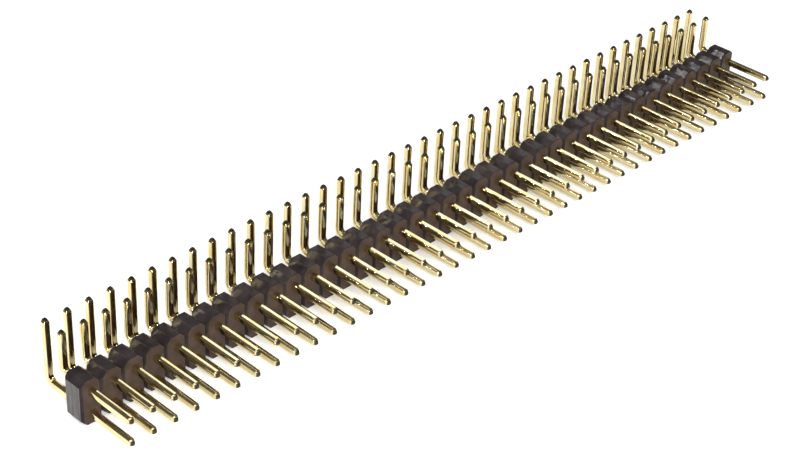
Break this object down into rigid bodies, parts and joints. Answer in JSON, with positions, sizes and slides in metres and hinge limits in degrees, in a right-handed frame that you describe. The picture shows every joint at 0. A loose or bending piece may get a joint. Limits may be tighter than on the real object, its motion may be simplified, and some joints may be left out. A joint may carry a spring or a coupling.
{
  "type": "pin header strip",
  "caption": "Right-angle pin header strip: a notched black insulator bar carrying two rows of square gilt pins, with straight contacts in front and tails bent up behind.",
  "frame": {"origin": "middle of the insulator's lower side", "axes": "X along the strip, contacts along -Y, tails along +Z away from the lower side"},
  "size_m": [0.1014, 0.0132, 0.0085],
  "materials": {
    "moulded_plastic": "slightly glossy moulded black plastic",
    "gilt_pins": "thin bright gold plating on drawn square wire"
  },
  "bodies": {
    "root": {"insulator": "moulded_plastic", "pins_01": "gilt_pins", "pins_02": "gilt_pins", "pins_03": "gilt_pins", "pins_04": "gilt_pins", "pins_05": "gilt_pins", "pins_06": "gilt_pins", "pins_07": "gilt_pins", "pins_08": "gilt_pins", "pins_09": "gilt_pins", "pins_10": "gilt_pins", "pins_11": "gilt_pins", "pins_12": "gilt_pins", "pins_13": "gilt_pins", "pins_14": "gilt_pins", "pins_15": "gilt_pins", "pins_16": "gilt_pins", "pins_17": "gilt_pins", "pins_18": "gilt_pins", "pins_19": "gilt_pins", "pins_20": "gilt_pins", "pins_21": "gilt_pins", "pins_22": "gilt_pins", "pins_23": "gilt_pins", "pins_24": "gilt_pins", "pins_25": "gilt_pins", "pins_26": "gilt_pins", "pins_27": "gilt_pins", "pins_28": "gilt_pins", "pins_29": "gilt_pins", "pins_30": "gilt_pins", "pins_31": "gilt_pins", "pins_32": "gilt_pins", "pins_33": "gilt_pins", "pins_34": "gilt_pins", "pins_35": "gilt_pins", "pins_36": "gilt_pins", "pins_37": "gilt_pins", "pins_38": "gilt_pins", "pins_39": "gilt_pins", "pins_40": "gilt_pins"}
  },
  "joints": []
}
